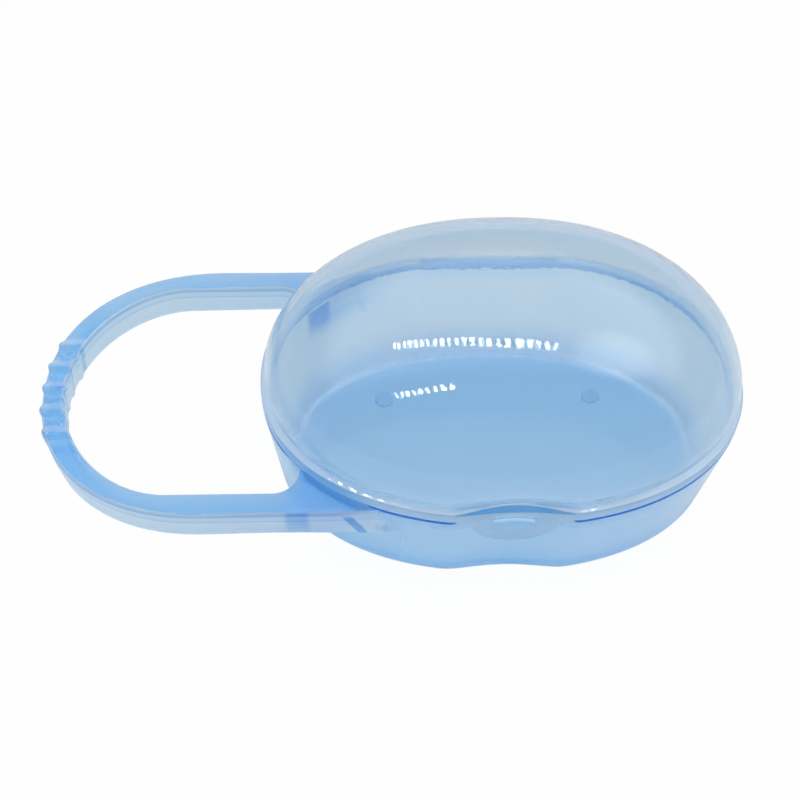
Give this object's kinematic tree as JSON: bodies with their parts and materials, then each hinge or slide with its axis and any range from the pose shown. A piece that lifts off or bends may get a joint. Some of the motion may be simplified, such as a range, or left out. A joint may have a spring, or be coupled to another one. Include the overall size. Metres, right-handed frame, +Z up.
{
  "type": "pacifier sterilizer case",
  "caption": "Oval translucent plastic case for a baby's pacifier: a tray with a moulded loop handle and a domed lid on a rear pin hinge, held shut by a thumb tongue.",
  "frame": {"origin": "middle of the oval body's flat underside, where the tray stands on a table", "axes": "+Z up through the lid, -X along the loop handle, -Y to the thumb tongue at the front, +Y to the hinge"},
  "size_m": [0.1487, 0.0744, 0.0579],
  "materials": {
    "tray_plastic": "translucent pale blue polypropylene, satin",
    "lid_plastic": "translucent pale blue polypropylene, glossy",
    "latch_plastic": "translucent pale blue polypropylene, glossy",
    "pin_plastic": "translucent pale blue polypropylene, satin"
  },
  "bodies": {
    "tray": {"tray": "tray_plastic", "hinge_pin": "pin_plastic"},
    "lid": {"lid": "lid_plastic"},
    "latch": {"latch_tongue": "latch_plastic"}
  },
  "joints": [
    {"name": "lid_hinge", "type": "hinge", "parent": "tray", "child": "lid", "pos_m": [0, 0.0367, 0.0274], "axis": [-1, 0, 0], "range_deg": [0, 135]},
    {"name": "latch_flex", "type": "hinge", "parent": "lid", "child": "latch", "pos_m": [0, -0.0342, 0.0302], "axis": [-1, 0, 0], "range_deg": [0, 8], "stiffness_Nm_per_rad": 0.2}
  ]
}
